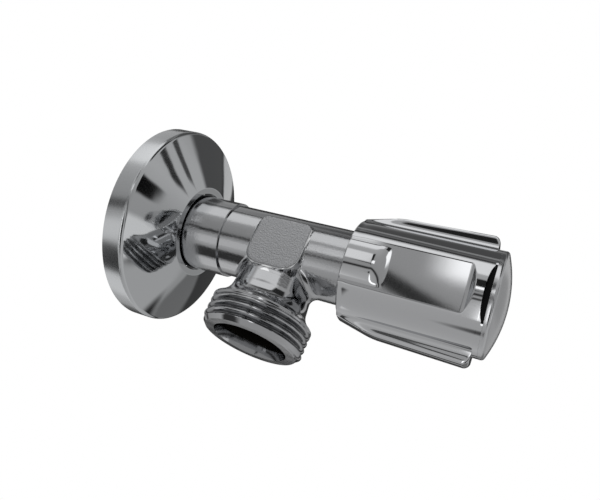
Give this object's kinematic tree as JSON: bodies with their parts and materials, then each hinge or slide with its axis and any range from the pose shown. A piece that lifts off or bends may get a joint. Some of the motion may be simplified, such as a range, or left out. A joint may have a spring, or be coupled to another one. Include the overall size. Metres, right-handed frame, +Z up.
{
  "type": "angle valve",
  "caption": "Chromed angle valve with wall rosette: threaded wall inlet, threaded outlet facing down and a grip handle whose screw spindle lifts a washer off its seat.",
  "frame": {"origin": "on the valve's axis in the plane of the finished wall, which is the rosette's back", "axes": "+X along the valve's axis out of the wall to the handle, +Z up, outlet to -Z"},
  "size_m": [0.1076, 0.054, 0.054],
  "materials": {
    "body_chrome": "turned and polished brass, chrome plated",
    "rosette_chrome": "pressed steel, mirror chrome plated",
    "handle_chrome": "die-cast, mirror chrome plated",
    "headwork_brass": "turned brass",
    "gasket_fibre": "pressed fibre",
    "seal_rubber": "moulded rubber",
    "slip_plastic": "turned acetal",
    "spring_steel": "stamped spring steel",
    "screw_steel": "zinc plated steel"
  },
  "bodies": {
    "valve": {"valve_body": "body_chrome", "headwork_housing": "headwork_brass", "housing_gasket": "gasket_fibre"},
    "rosette": {"wall_rosette": "rosette_chrome"},
    "handle": {"handle": "handle_chrome", "handle_cap": "handle_chrome", "handle_screw": "screw_steel", "spindle": "headwork_brass", "spindle_clip": "spring_steel", "spindle_seal_ring_inner": "seal_rubber", "spindle_seal_ring_outer": "seal_rubber", "spindle_thrust_washer": "slip_plastic"},
    "plunger": {"plunger": "headwork_brass", "plunger_seal_ring": "seal_rubber", "seat_washer": "seal_rubber", "washer_screw": "screw_steel"}
  },
  "joints": [
    {"name": "handle_turn", "type": "hinge", "parent": "valve", "child": "handle", "pos_m": [0, 0, 0], "axis": [1, 0, 0], "range_deg": [0, 900]},
    {"name": "plunger_lift", "type": "slide", "parent": "valve", "child": "plunger", "axis": [1, 0, 0], "range_m": [0, 0.00313]},
    {"name": "rosette_slide", "type": "slide", "parent": "valve", "child": "rosette", "axis": [1, 0, 0], "range_m": [0, 0.009]}
  ],
  "couplings": [
    {"joint": "plunger_lift", "follows": "handle_turn", "m_per_rad": 0.00019894}
  ]
}
